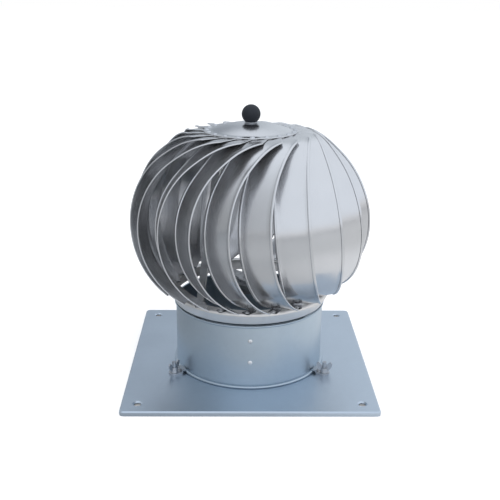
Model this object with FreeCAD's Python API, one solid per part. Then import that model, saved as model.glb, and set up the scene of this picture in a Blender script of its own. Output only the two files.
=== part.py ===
import FreeCAD, Part
import math
import os
from FreeCAD import Vector

# Wind-driven roof ventilator: a square flashing plate, a round sleeve held by three
# clips, a strap frame with two ball bearings, and a head of twenty rolled blades.
# Millimetres. Origin: centre of the plate's underside. +Z is the spin axis, upwards.

# Base plate
plate_side = 241.0
plate_height = 4.5
plate_sheet = 1.0
plate_corner_radius = 4.0
plate_edge_bevel = 1.2
bolt_edge_margin = 15.5
bolt_hole_radius = 3.25
dimple_flare = 1.45
dimple_depth = 1.2

# Sleeve and the spigot inside it
sleeve_radius = 75.0
sleeve_sheet = 0.8
sleeve_length = 65.5
bottom_bead_width = 2.5
top_bead_width = 1.6
sleeve_rivet_lift = 6.1
sleeve_rivet_drop = 16.0
sleeve_rivet_seat = 0.05
spigot_sheet = 0.7
spigot_gap = 0.2
spigot_length = 21.0
spigot_flange_width = 8.0
spigot_flange_sheet = 0.8

# Blind rivets, kept to a few flats because there are so many
rivet_sides = 8
rivet_head_radius = 2.3
rivet_head_height = 0.9
rivet_head_bevel = 0.54
rivet_shank_radius = 1.6
rivet_tail_step = 0.2
rivet_tail_height = 0.3
rivet_hole_gap = 0.05
rivet_hole_reach = 3.0

# Hold-down clips
clip_angles = (90.0, 210.0, 330.0)
clip_stud_offset = 12.0
clip_stud_radius = 2.0
clip_stud_length = 12.5
clip_half_width = 5.5
clip_sheet = 1.5
clip_joggle = 0.6
clip_wall_gap = 0.6
clip_bead_gap = 0.4
clip_hole_gap = 0.1
clip_lay_gap = 0.05
wing_nut_radius = 4.0
wing_nut_taper = 0.8
wing_nut_height = 5.0
wing_reach = 8.0
wing_rise = 6.0
wing_tip = 2.0
wing_root = 1.2
wing_dip = 0.6
wing_thick = 1.4
wing_nut_thread_gap = 0.05
wing_nut_turn = 25.0

# Rotor ring above the sleeve
ring_sheet = 0.8
ring_lift = 15.0
ring_inner_step = 2.2
ring_outer_step = 8.0
ring_corner_radius = 2.0
ring_shoulder_chords = 3
skirt_step = 1.8
skirt_gap = 2.5
ring_rivet_margin = 3.3

# Blades: each one a flat strip with hemmed edges, rolled to one radius, with a
# second, larger radius towards the disc. A strip's plane stands at blade_set_angle
# to the radius, and its width leans by blade_lean per millimetre. The two rolls, taken
# in chords because there are so many, set how high the disc stands.
blade_count = 20
blade_phase = 8.3
blade_set_angle = 35.0
blade_lean = 0.111
blade_lean_lift = 76.0
blade_sheet = 0.5
blade_width = 31.0
blade_mid_offset = 52.7
blade_roll_radius = 78.0
blade_roll_reach = 18.2
blade_roll_chords = 14
blade_shoulder_angle = 70.0
blade_top_radius = 450.0
blade_top_chords = 2
blade_hem_width = 2.6
blade_hem_thick = 0.8
blade_hem_setback = 1.0
blade_taper_length = 8.0
blade_twist_length = 3.5
blade_tab_step = 1.19
blade_tab_root = 2.8
blade_tab_rivet_margin = 4.6
blade_tab_end = 1.6
blade_tab_half_width = 6.0
blade_tab_offset = 1.7
blade_tab_corner = 2.0
blade_corner_trim = 3.4
blade_corner_trim_length = 9.0
blade_foot_lift = 0.8
blade_foot_reach = 7.7
blade_foot_width = 9.6
blade_foot_margin = 3.4
blade_foot_corner = 2.0

# Top disc
disc_radius = 45.6
disc_sheet = 1.0
disc_rim_width = 6.6
disc_rise = 6.5
disc_landing_margin = 0.5
disc_crown_chords = 5
disc_rivet_margin = 3.1
disc_hole_gap = 0.1

# Strap frame inside the head
strap_width = 9.0
strap_thick = 1.8
strap_head_room = 30.0
strap_top_reach = 46.0
strap_foot_lift = 7.5
strap_bend_drop = 14.0
strap_wall_gap = 0.03
strap_angles = (45.0, 135.0)
strap_eye_radius = 11.0
strap_bore_gap = 1.5
bar_width = 14.0
bar_thick = 2.0
bar_lift = 4.0
bar_tab_drop = 11.0
bar_bore_gap = 0.7

# Bearings, the same size at both ends of the shaft
shaft_radius = 4.0
bearing_outer_radius = 11.0
bearing_width = 7.0
bearing_inner_ring_radius = 6.2
bearing_shield_gap = 0.08
bearing_shield_thick = 0.5
bearing_outer_wall = 1.9
bearing_fit_gap = 0.02
housing_wall = 2.5
housing_floor = 2.0
housing_floor_step = 1.3
housing_flange_thick = 2.0
housing_flange_margin = 2.9
housing_rivet_gap = 0.6
circlip_thick = 1.0
circlip_depth = 0.6
circlip_reach = 1.2
circlip_gap = 0.05
circlip_mouth = 5.0
housing_lip = 1.2

# Shaft, nuts and knob
shaft_tail = 6.0
shaft_knob_depth = 0.5
shaft_collar_step = 0.4
shaft_collar_height = 3.0
nut_flats = 13.0
nut_height = 5.0
washer_radius = 6.2
washer_height = 1.3
knob_radius = 9.1
knob_foot_radius = 5.43
knob_bore_gap = 0.02

# How far a cutting shape runs past what it cuts
cut_margin = 1.0

os.makedirs("parts", exist_ok=True)
up = Vector(0, 0, 1)
axis_start = Vector(0, 0, 0)

# What follows from the sizes above, piece by piece from the plate upwards
plate_top = plate_height
plate_underside = plate_top - plate_sheet
bolt_pitch = plate_side - 2 * bolt_edge_margin
dimple_radius = bolt_hole_radius + dimple_flare
sleeve_bore = sleeve_radius - sleeve_sheet
sleeve_top = plate_top + sleeve_length
spigot_outer = sleeve_bore - spigot_gap
spigot_bore = spigot_outer - spigot_sheet
spigot_top = plate_top + spigot_length
sleeve_rivet_heights = (spigot_top + sleeve_rivet_lift, sleeve_top - sleeve_rivet_drop)
clip_stud_circle_radius = sleeve_radius + clip_stud_offset
ring_flange_height = sleeve_top + ring_lift
ring_inner_radius = sleeve_bore - ring_inner_step
ring_outer_radius = sleeve_radius + ring_outer_step
ring_rivet_circle_radius = ring_outer_radius - ring_rivet_margin
skirt_bottom_radius = sleeve_radius + skirt_step
skirt_bottom_height = sleeve_top + skirt_gap
disc_flat_radius = disc_radius - disc_rim_width
disc_rivet_circle_radius = disc_radius - disc_rivet_margin
disc_landing_radius = nut_flats / 2 / math.cos(math.pi / 6) + disc_landing_margin
shaft_collar_radius = bearing_inner_ring_radius - shaft_collar_step
strap_bore = shaft_radius + strap_bore_gap
bar_bore = shaft_collar_radius + bar_bore_gap
bearing_ring_bore = bearing_outer_radius - bearing_outer_wall
housing_bore = bearing_outer_radius + bearing_fit_gap
housing_radius = housing_bore + housing_wall
housing_floor_bore = bearing_inner_ring_radius + housing_floor_step
housing_rivet_circle_radius = (housing_radius + housing_rivet_gap
                               + rivet_head_radius / math.cos(math.pi / rivet_sides))
housing_flange_radius = housing_rivet_circle_radius + housing_flange_margin


def export(name, shape):
    """Write one node as a STEP file."""
    shape.exportStep("parts/" + name + ".step")


def polar(radius, degrees, height=0.0):
    """A point from its radius, its angle about the spin axis and its height."""
    angle = math.radians(degrees)
    return Vector(radius * math.cos(angle), radius * math.sin(angle), height)


def turned(shape, degrees):
    """A copy of a shape, turned about the spin axis."""
    copy = shape.copy()
    copy.rotate(axis_start, up, degrees)
    return copy


def drum(radius, low, high, centre=axis_start):
    """A round bar along Z between two heights."""
    return Part.makeCylinder(radius, high - low, Vector(centre.x, centre.y, low))


def tube(outer, inner, low, high, centre=axis_start):
    """A round tube along Z between two heights."""
    hollow = drum(inner, low - cut_margin, high + cut_margin, centre)
    return drum(outer, low, high, centre).cut(hollow)


def prism(sides, radius, low, high, centre=axis_start):
    """A regular prism along Z, its flats at the given radius."""
    corner = radius / math.cos(math.pi / sides)
    corners = [polar(corner, 360 * (k + 0.5) / sides, low) for k in range(sides + 1)]
    body = Part.Face(Part.makePolygon(corners)).extrude(Vector(0, 0, high - low))
    body.translate(Vector(centre.x, centre.y, 0))
    return body


def extruded(points, step):
    """A flat outline of corners, pushed along a vector."""
    return Part.Face(Part.makePolygon(points + points[:1])).extrude(step)


def spun(points):
    """A solid of revolution from (radius, height) corners."""
    corners = [Vector(r, 0, z) for r, z in points]
    wire = Part.makePolygon(corners + corners[:1])
    return Part.Face(wire).revolve(axis_start, up, 360)


def placed(shape, origin, direction):
    """Stand a shape made along +Z at a point, along another direction."""
    copy = shape.copy()
    turn = FreeCAD.Rotation(up, direction)
    copy.Placement = FreeCAD.Placement(origin, turn)
    return copy


def rivet(grip):
    """A blind rivet along +Z: head on top of z = 0, its tail grips below z = -grip."""
    head = prism(rivet_sides, rivet_head_radius, 0, rivet_head_height)
    tops = [e for e in head.Edges if min(v.Z for v in e.Vertexes) > rivet_head_height / 2]
    head = head.makeChamfer(rivet_head_bevel, tops)
    shank = prism(rivet_sides, rivet_shank_radius, -grip, 0)
    tail = prism(rivet_sides, rivet_shank_radius + rivet_tail_step,
                 -grip - rivet_tail_height, -grip)
    return head.fuse([shank, tail]).removeSplitter()


def rivet_hole(centre):
    """The hole for a rivet that stands along Z at a point."""
    return prism(rivet_sides, rivet_shank_radius + rivet_hole_gap,
                 centre.z - rivet_hole_reach, centre.z + rivet_hole_reach, centre)


def nut(low, high, bore):
    """A plain hexagon nut about the spin axis."""
    hollow = drum(bore, low - cut_margin, high + cut_margin)
    return prism(6, nut_flats / 2, low, high).cut(hollow)


# Base plate: a shallow tray turned upside down, with four dimpled screw holes.
def tray(side, height, corner_radius, edge_bevel):
    body = Part.makeBox(side, side, height, Vector(-side / 2, -side / 2, 0))
    uprights = [e for e in body.Edges if abs(e.Vertexes[0].Z - e.Vertexes[1].Z) > height / 2]
    body = body.makeFillet(corner_radius, uprights)
    rim = [e for e in body.Edges if min(v.Z for v in e.Vertexes) > height / 2]
    return body.makeChamfer(edge_bevel, rim)


def make_base_plate():
    outer = tray(plate_side, plate_height, plate_corner_radius, plate_edge_bevel)
    inner = tray(plate_side - 2 * plate_sheet, plate_height - plate_sheet,
                 plate_corner_radius - plate_sheet, plate_edge_bevel / 2)
    plate = outer.cut(inner)
    above = plate_top + cut_margin
    plate = plate.cut(drum(spigot_outer + spigot_gap, -cut_margin, above))
    dimple = spun([(dimple_radius, plate_top), (dimple_radius, plate_underside),
                   (bolt_hole_radius, plate_underside - dimple_depth),
                   (bolt_hole_radius, plate_top - dimple_depth)])
    half = bolt_pitch / 2
    for x in (-half, half):
        for y in (-half, half):
            plate = plate.cut(drum(dimple_radius, -cut_margin, above, Vector(x, y, 0)))
            cup = dimple.copy()
            cup.translate(Vector(x, y, 0))
            plate = plate.fuse(cup)
    return plate.removeSplitter()


# Spigot: a short tube through the plate, its flange against the plate's underside.
def make_spigot():
    flange_low = plate_underside - spigot_flange_sheet
    wall = tube(spigot_outer, spigot_bore, flange_low, spigot_top)
    flange = tube(spigot_outer + spigot_flange_width, spigot_bore, flange_low, plate_underside)
    return wall.fuse(flange).removeSplitter()


# Sleeve: a plain tube with a rolled bead at each end.
def bead(radius, width, middle):
    """Corners of a rolled bead that stands out from a wall by its width: half an octagon."""
    half = width / 2
    flat = half * math.tan(math.pi / 8)
    bevel = half - flat
    return [(radius, middle - half), (radius + width - bevel, middle - half),
            (radius + width, middle - flat), (radius + width, middle + flat),
            (radius + width - bevel, middle + half), (radius, middle + half)]


def make_sleeve():
    low_bead = bead(sleeve_radius, bottom_bead_width, plate_top + bottom_bead_width / 2)
    high_bead = bead(sleeve_radius, top_bead_width, sleeve_top - top_bead_width / 2)
    outline = [(sleeve_bore, plate_top)] + low_bead + high_bead + [(sleeve_bore, sleeve_top)]
    sleeve = spun(outline)
    for height in sleeve_rivet_heights:
        hole = placed(rivet_hole(axis_start), polar(sleeve_radius, 270, height), polar(1, 270))
        sleeve = sleeve.cut(hole)
    return sleeve


def make_sleeve_rivets():
    one = rivet(sleeve_sheet + sleeve_rivet_seat)
    return Part.makeCompound([placed(one, polar(sleeve_radius, 270, z), polar(1, 270))
                              for z in sleeve_rivet_heights])


# Clips: a stud on the plate, a lug that hooks over the bottom bead, and a wing nut.
lug_reach = clip_stud_offset - clip_wall_gap
lug_low = plate_top + clip_lay_gap
lug_high = lug_low + bottom_bead_width


def make_clip_studs():
    return Part.makeCompound([drum(clip_stud_radius, plate_top, plate_top + clip_stud_length,
                                   polar(clip_stud_circle_radius, angle))
                              for angle in clip_angles])


def make_clip(angle):
    """Made with its stud on Z and its hook towards -X, then put in place."""
    swing_room = clip_stud_offset - bottom_bead_width - clip_bead_gap
    hook_start = math.sqrt(swing_room ** 2 - clip_half_width ** 2)
    far = 2 * lug_reach
    lug_top = lug_high + clip_sheet
    side = [Vector(-far, 0, lug_high), Vector(-hook_start, 0, lug_high),
            Vector(-hook_start + clip_joggle, 0, lug_low), Vector(far, 0, lug_low),
            Vector(far, 0, lug_low + clip_sheet),
            Vector(-hook_start + clip_sheet, 0, lug_low + clip_sheet),
            Vector(-hook_start + clip_sheet - clip_joggle, 0, lug_top),
            Vector(-far, 0, lug_top)]
    strip = extruded(side, Vector(0, 2 * clip_half_width, 0))
    strip.translate(Vector(0, -clip_half_width, 0))
    above = lug_top + cut_margin
    tip = drum(lug_reach, 0, above)
    tip = tip.common(Part.makeBox(lug_reach, 2 * clip_half_width, above,
                                  Vector(-lug_reach, -clip_half_width, 0)))
    heel = drum(clip_half_width, 0, above)
    lug = strip.common(tip.fuse(heel))
    lug = lug.cut(drum(clip_stud_radius + clip_hole_gap, 0, above))
    lug.translate(Vector(clip_stud_circle_radius, 0, 0))
    return turned(lug.removeSplitter(), angle)


def make_wing_nut(angle):
    low = lug_low + clip_sheet + clip_lay_gap
    high = low + wing_nut_height
    peak = high + wing_rise
    hub = Part.makeCone(wing_nut_radius, wing_nut_radius - wing_nut_taper, wing_nut_height,
                        Vector(0, 0, low))
    ear = [Vector(0, 0, low + wing_root), Vector(wing_nut_radius, 0, low + wing_root),
           Vector(wing_reach - wing_tip / 2, 0, high), Vector(wing_reach, 0, peak - wing_tip),
           Vector(wing_reach - wing_tip, 0, peak),
           Vector(wing_reach - 2 * wing_tip, 0, peak - wing_tip), Vector(0, 0, high - wing_dip)]
    wing = extruded(ear, Vector(0, wing_thick, 0))
    wing.translate(Vector(0, -wing_thick / 2, 0))
    body = hub.fuse([wing, turned(wing, 180)])
    body = body.cut(drum(clip_stud_radius + wing_nut_thread_gap, low - cut_margin, peak))
    body = turned(body.removeSplitter(), wing_nut_turn)
    body.translate(Vector(clip_stud_circle_radius, 0, 0))
    return turned(body, angle)


# Strap frame: two crossing U-shaped straps stand on the sleeve's inner wall, each with a
# round eye where the shaft passes.
strap_foot_reach = math.sqrt((sleeve_bore - strap_wall_gap) ** 2 - (strap_width / 2) ** 2)
strap_foot_low = spigot_top + strap_foot_lift
strap_foot_high = sleeve_top - strap_bend_drop
bar_height = ring_flange_height + bar_lift


def make_strap(top_height, angle):
    out = strap_foot_reach
    slope = (out - strap_top_reach) / (top_height - strap_foot_high)
    cosine = 1 / math.sqrt(1 + slope ** 2)
    inner_shift = strap_thick / cosine
    bend_drop = strap_thick * (1 / cosine - 1) / slope
    right_outer = [(out, strap_foot_low), (out, strap_foot_high), (strap_top_reach, top_height)]
    inner_top = top_height - strap_thick
    inner_reach = strap_top_reach + strap_thick * slope - inner_shift
    right_inner = [(inner_reach, inner_top), (out - strap_thick, strap_foot_high + bend_drop),
                   (out - strap_thick, strap_foot_low)]
    half = [Vector(x, 0, z) for x, z in right_outer]
    back = [Vector(x, 0, z) for x, z in right_inner]
    mirror = [Vector(-v.x, 0, v.z) for v in reversed(half)]
    mirror_back = [Vector(-v.x, 0, v.z) for v in reversed(back)]
    outline = half + mirror + mirror_back + back
    strap = extruded(outline, Vector(0, strap_width, 0))
    strap.translate(Vector(0, -strap_width / 2, 0))
    strap = strap.fuse(drum(strap_eye_radius, inner_top, top_height)).removeSplitter()
    strap = strap.cut(drum(strap_bore, inner_top - cut_margin, top_height + cut_margin))
    for side in (-1, 1):
        strap = strap.cut(rivet_hole(Vector(side * housing_rivet_circle_radius, 0, top_height)))
    return turned(strap, angle)


def leg_inner_reach(top_height, height):
    """How far out a leg's inner face is at a height."""
    slope = (strap_foot_reach - strap_top_reach) / (top_height - strap_foot_high)
    shift = strap_thick * math.sqrt(1 + slope ** 2)
    return strap_foot_reach - slope * (height - strap_foot_high) - shift


# Bearing: an outer ring with a shield at each side, and an inner ring inside them.
def make_bearing(low):
    high = low + bearing_width
    shield = bearing_inner_ring_radius + bearing_shield_gap
    outer = spun([(shield, low), (bearing_outer_radius, low), (bearing_outer_radius, high),
                  (shield, high), (shield, high - bearing_shield_thick),
                  (bearing_ring_bore, high - bearing_shield_thick),
                  (bearing_ring_bore, low + bearing_shield_thick),
                  (shield, low + bearing_shield_thick)])
    inner = tube(bearing_inner_ring_radius, shaft_radius + bearing_fit_gap, low, high)
    return outer, inner


def make_housing(face, sign, flange_angle):
    """A flanged cup on a strap: the flange lies on the strap's face at that height, and
    the cup stands away from the strap, upwards for sign 1 and downwards for sign -1."""
    bore = housing_bore
    seat = face + sign * housing_floor
    snap = seat + sign * bearing_width
    lip = snap + sign * (circlip_thick + 2 * circlip_gap)
    end = lip + sign * housing_lip
    groove = bore + circlip_depth
    flange_end = face + sign * housing_flange_thick
    cup = spun([(housing_floor_bore, face), (housing_flange_radius, face),
                (housing_flange_radius, flange_end), (housing_radius, flange_end),
                (housing_radius, end), (bore, end), (bore, lip), (groove, lip), (groove, snap),
                (bore, snap), (bore, seat), (housing_floor_bore, seat)])
    for side in (0, 180):
        hole = rivet_hole(polar(housing_rivet_circle_radius, side, face))
        cup = cup.cut(hole)
    clip_start = snap + sign * circlip_gap
    clip_low = min(clip_start, clip_start + sign * circlip_thick)
    ring = tube(groove - circlip_gap, bore - circlip_reach, clip_low, clip_low + circlip_thick)
    mouth = Part.makeBox(2 * bore, circlip_mouth, 3 * circlip_thick,
                         Vector(0, -circlip_mouth / 2, clip_low - circlip_thick))
    return turned(cup, flange_angle), ring.cut(mouth), min(seat, snap)


def make_housing_rivets(face, sign, grip, flange_angle):
    """Two rivets through a housing's flange and the strap behind it."""
    one = rivet(grip)
    rivets = []
    for side in (0, 180):
        centre = polar(housing_rivet_circle_radius, side, face + sign * housing_flange_thick)
        rivets.append(turned(placed(one, centre, up * sign), flange_angle))
    return Part.makeCompound(rivets)


# Lower bar: a flat bar between the lower strap's legs, with both ends turned down.
def make_lower_bar():
    top = bar_height + bar_thick
    tab_low = top - bar_tab_drop
    reach = leg_inner_reach(lower_strap_top, top) - strap_wall_gap
    tab_reach = leg_inner_reach(lower_strap_top, tab_low) - strap_wall_gap
    half = [(reach, top), (tab_reach, tab_low), (tab_reach - bar_thick, tab_low),
            (reach - bar_thick, bar_height)]
    side = [Vector(x, 0, z) for x, z in half]
    side += [Vector(-x, 0, z) for x, z in reversed(half)]
    bar = extruded(side, Vector(0, bar_width, 0))
    bar.translate(Vector(0, -bar_width / 2, 0))
    bar = bar.fuse(drum(strap_eye_radius, bar_height, top)).removeSplitter()
    bar = bar.cut(drum(bar_bore, bar_height - cut_margin, top + cut_margin))
    for side in (-1, 1):
        bar = bar.cut(rivet_hole(Vector(side * housing_rivet_circle_radius, 0, bar_height)))
    return turned(bar, strap_angles[1])


# Top disc: flat rim for the rivets, a shallow crown, and a flat landing at the centre.
def disc_line(rim_height):
    """Corners of the disc's top or bottom face, from the rim to the centre hole: the crown
    is an arc from the flat rim to the landing, taken in chords."""
    run = disc_flat_radius - disc_landing_radius
    line = [(disc_radius, rim_height)]
    for k in range(disc_crown_chords + 1):
        part = k / disc_crown_chords
        height = rim_height + disc_rise * math.sin(part * math.pi / 2)
        line.append((disc_flat_radius - run * part, height))
    line.append((shaft_radius + disc_hole_gap, rim_height + disc_rise))
    return line


def make_top_disc():
    disc = spun(disc_line(disc_rim_height) + disc_line(disc_underside)[::-1])
    return disc.cut(blade_holes(top_rivet_point))


# Rotor ring: a flat flange with a rounded shoulder and a cone that narrows downwards.
def make_lower_ring():
    top = ring_flange_height
    under = top - ring_sheet
    narrowing = (ring_outer_radius - skirt_bottom_radius) / (top - skirt_bottom_height)
    wall = ring_sheet * math.sqrt(1 + narrowing ** 2)
    shoulder = [(ring_inner_radius, top)]
    for k in range(ring_shoulder_chords + 1):
        angle = math.pi / 2 * k / ring_shoulder_chords
        shoulder.append((ring_outer_radius - ring_corner_radius * (1 - math.sin(angle)),
                         top - ring_corner_radius * (1 - math.cos(angle))))
    inner_radius = ring_outer_radius - narrowing * ring_sheet - wall
    ring = spun(shoulder + [(skirt_bottom_radius, skirt_bottom_height),
                            (skirt_bottom_radius - wall, skirt_bottom_height),
                            (inner_radius, under), (ring_inner_radius, under)])
    return ring.cut(blade_holes(ring_rivet_point))


# Blade number one, in the strip's own frame: X along the strip's plane away from the
# spin axis, Y across the strip and Z up its lean. Its zero is the strip's middle line
# at blade_lean_height.
set_radians = math.radians(blade_set_angle)
lean_radians = math.atan(blade_lean)
lean_cosine = math.cos(lean_radians)
lean_sine = math.sin(lean_radians)
s_direction = Vector(math.cos(set_radians), -math.sin(set_radians), 0)
w_direction = Vector(math.sin(set_radians), math.cos(set_radians), 0)
across_direction = w_direction * lean_cosine + up * lean_sine
rise_direction = up * lean_cosine - w_direction * lean_sine
blade_lean_height = ring_flange_height + blade_lean_lift
strip_zero = w_direction * blade_mid_offset + up * blade_lean_height
half_sheet = blade_sheet / 2
half_width = blade_width / 2

# The strip's lower end stands where its foot reaches the ring's rivet.
foot_low = ring_flange_height
foot_high = foot_low + blade_sheet
foot_left_across = -half_width + blade_corner_trim
foot_right_across = foot_left_across + blade_foot_width
end_rise = (foot_low + blade_foot_lift - blade_lean_height
            - foot_left_across * lean_sine) / lean_cosine
foot_left_w = blade_mid_offset + foot_left_across * lean_cosine - end_rise * lean_sine
foot_right_w = blade_mid_offset + foot_right_across * lean_cosine - end_rise * lean_sine
foot_middle_w = (foot_left_w + foot_right_w) / 2
ring_rivet_s = math.sqrt(ring_rivet_circle_radius ** 2 - foot_middle_w ** 2)
end_reach = ring_rivet_s - blade_foot_reach

# From there the strip follows one roll up to the shoulder and a larger one to its top,
# where a short twist steps it up to the flat tab under the disc.
end_radians = -math.acos((end_reach - blade_roll_reach) / blade_roll_radius)
roll_rise = end_rise - blade_roll_radius * math.sin(end_radians)
shoulder_radians = math.radians(blade_shoulder_angle)
radius_step = blade_top_radius - blade_roll_radius
main_roll = (blade_roll_radius, blade_roll_reach, roll_rise)
top_roll = (blade_top_radius, blade_roll_reach - radius_step * math.cos(shoulder_radians),
            roll_rise - radius_step * math.sin(shoulder_radians))
tab_rivet_reach = blade_tab_end + blade_tab_rivet_margin
tab_start_reach = tab_rivet_reach + blade_tab_root
taper_end_reach = tab_start_reach + blade_twist_length
taper_start_reach = taper_end_reach + blade_taper_length
hem_end_reach = taper_start_reach + blade_hem_setback


def strip_spot(reach, across, rise):
    """A place in the strip's own frame, as a point of the part."""
    return strip_zero + s_direction * reach + across_direction * across + rise_direction * rise


def spot(s, w, z):
    """A point from its s along the strip's plane, its w across it and its height."""
    return s_direction * s + w_direction * w + up * z


def blade_angle(k):
    """How far blade k is turned from blade zero's own frame."""
    return blade_phase + 360 * k / blade_count


def blade_holes(point):
    """One rivet hole for each blade, through the ring or the disc."""
    return [turned(rivet_hole(point), blade_angle(k)) for k in range(blade_count)]


def roll_spot(roll, angle, lift):
    """Reach and rise on one of the two rolls at an angle, lifted along the normal."""
    radius, reach, rise = roll
    return (reach + (radius + lift) * math.cos(angle), rise + (radius + lift) * math.sin(angle))


def top_angle(reach):
    """The angle on the larger roll at which the strip has a given reach."""
    return math.acos((reach - top_roll[1]) / blade_top_radius)


disc_underside = (blade_lean_height + half_sheet + blade_tab_step
                  + roll_spot(top_roll, top_angle(taper_end_reach), 0)[1] * lean_cosine)
disc_rim_height = disc_underside + disc_sheet


def roll_stations():
    """The rolls and angles of the chords' ends, from the strip's foot to where its hems
    stop."""
    hem_angle = top_angle(hem_end_reach)
    stations = []
    for roll, first, last, chords in (
            (main_roll, end_radians, shoulder_radians, blade_roll_chords),
            (top_roll, shoulder_radians, hem_angle, blade_top_chords)):
        start = 1 if stations else 0
        stations += [(roll, first + (last - first) * k / chords)
                     for k in range(start, chords + 1)]
    return stations


def rolled_band(low_lift, high_lift, stations, left, right):
    """A band of the rolled strip in chords, pushed across from left to right."""
    low = [roll_spot(roll, angle, low_lift) for roll, angle in stations]
    high = [roll_spot(roll, angle, high_lift) for roll, angle in stations]
    outline = [Vector(reach, left, rise) for reach, rise in low + high[::-1]]
    return extruded(outline, Vector(0, right - left, 0))


def in_place(shape):
    """Move a shape from the strip's own frame to its place in the part."""
    columns = (s_direction, across_direction, rise_direction)
    rows = [[c[i] for c in columns] + [strip_zero[i]] for i in range(3)]
    matrix = FreeCAD.Matrix(*(rows[0] + rows[1] + rows[2] + [0, 0, 0, 1]))
    copy = shape.copy()
    copy.Placement = FreeCAD.Placement(matrix)
    return copy


def make_strip():
    """The web, a hem along each long edge, and the cuts at both ends."""
    hemmed = roll_stations()
    tab_station = (top_roll, top_angle(taper_end_reach))
    web = rolled_band(-half_sheet, half_sheet, hemmed + [tab_station], -half_width, half_width)
    hem_high = half_sheet + blade_hem_thick
    near = rolled_band(half_sheet, hem_high, hemmed, -half_width, -half_width + blade_hem_width)
    far = rolled_band(half_sheet, hem_high, hemmed, half_width - blade_hem_width, half_width)
    strip = web.fuse([near, far])
    past_edge = half_width + cut_margin
    for side in (-1, 1):
        taper = [Vector(taper_start_reach, side * half_width, 0),
                 Vector(taper_end_reach, side * blade_tab_half_width, 0),
                 Vector(taper_end_reach - cut_margin, side * blade_tab_half_width, 0),
                 Vector(taper_end_reach - cut_margin, side * past_edge, 0),
                 Vector(taper_start_reach, side * past_edge, 0)]
        strip = strip.cut(extruded(taper, up * 2 * blade_top_radius))
    trim = [Vector(end_reach - cut_margin, -past_edge, 0),
            Vector(end_reach - cut_margin, foot_left_across, 0),
            Vector(end_reach, foot_left_across, 0),
            Vector(end_reach + blade_corner_trim_length, -past_edge, 0)]
    strip = strip.cut(extruded(trim, up * -2 * blade_roll_radius))
    return in_place(strip.removeSplitter())


tab_rivet_w = math.sqrt(disc_rivet_circle_radius ** 2 - tab_rivet_reach ** 2)
tab_w = tab_rivet_w + blade_tab_offset
top_rivet_point = spot(tab_rivet_reach, tab_rivet_w, disc_rim_height)


def make_tab():
    """The flat tab under the disc, and the short twist that joins it to the strip."""
    angle = top_angle(taper_end_reach)
    left, right = -blade_tab_half_width, blade_tab_half_width
    strip_end = []
    for across, lift in ((left, -half_sheet), (right, -half_sheet), (right, half_sheet),
                         (left, half_sheet)):
        reach, rise = roll_spot(top_roll, angle, lift)
        strip_end.append(strip_spot(reach, across, rise))
    low, high = disc_underside - blade_sheet, disc_underside
    start = [spot(tab_start_reach, tab_w + across, z)
             for across, z in ((left, low), (right, low), (right, high), (left, high))]
    twist = Part.makeLoft([Part.makePolygon(c + c[:1]) for c in (strip_end, start)], True, True)
    corner = blade_tab_corner
    plan = [(tab_start_reach, left), (tab_start_reach, right), (blade_tab_end + corner, right),
            (blade_tab_end, right - corner), (blade_tab_end, left + corner),
            (blade_tab_end + corner, left)]
    flat = extruded([spot(s, tab_w + across, low) for s, across in plan], up * blade_sheet)
    return twist, flat


# The foot is a tongue folded outwards from the strip's lower end, flat on the ring.
foot_left = strip_spot(end_reach, foot_left_across, end_rise)
foot_right = strip_spot(end_reach, foot_right_across, end_rise)
ring_rivet_point = spot(ring_rivet_s, foot_middle_w, foot_high)


def make_foot():
    tip = ring_rivet_s + blade_foot_margin
    corner = blade_foot_corner
    start = end_reach - half_sheet
    plan = [(start, foot_left_w), (tip - corner, foot_left_w), (tip, foot_left_w + corner),
            (tip, foot_right_w - corner), (tip - corner, foot_right_w), (start, foot_right_w)]
    tongue = extruded([spot(s, w, foot_low) for s, w in plan], up * blade_sheet)
    web = [spot(start, foot_left_w, foot_low), spot(start, foot_right_w, foot_low),
           spot(start, foot_right_w, foot_right.z),
           spot(start, foot_left_w, max(foot_left.z, foot_high))]
    return tongue, extruded(web, s_direction * blade_sheet)


def make_blade():
    twist, flat = make_tab()
    tongue, web = make_foot()
    blade = make_strip().fuse([twist, flat, tongue, web]).removeSplitter()
    return blade.cut([rivet_hole(ring_rivet_point), rivet_hole(top_rivet_point)])


def make_blade_rivets(point, grip):
    one = rivet(grip)
    one.translate(point)
    return Part.makeCompound([turned(one, blade_angle(k))
                              for k in range(blade_count)])


# Shaft, with a collar that rests on the lower bearing's inner ring, and its ball knob.
landing = disc_rim_height + disc_rise
knob_seat = landing + washer_height
knob_height = knob_seat + math.sqrt(knob_radius ** 2 - knob_foot_radius ** 2)
shaft_top = knob_height + shaft_knob_depth


def make_shaft():
    collar_low = lower_bearing_low + bearing_width
    collar = drum(shaft_collar_radius, collar_low, collar_low + shaft_collar_height)
    shaft = drum(shaft_radius, lower_bearing_low - shaft_tail, shaft_top).fuse(collar)
    return shaft.removeSplitter()


def make_knob():
    ball = Part.makeSphere(knob_radius, Vector(0, 0, knob_height))
    below = drum(2 * knob_radius, knob_height - 2 * knob_radius, knob_seat)
    bore = drum(shaft_radius + knob_bore_gap, knob_seat - cut_margin, shaft_top + knob_bore_gap)
    return ball.cut([below, bore])


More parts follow.
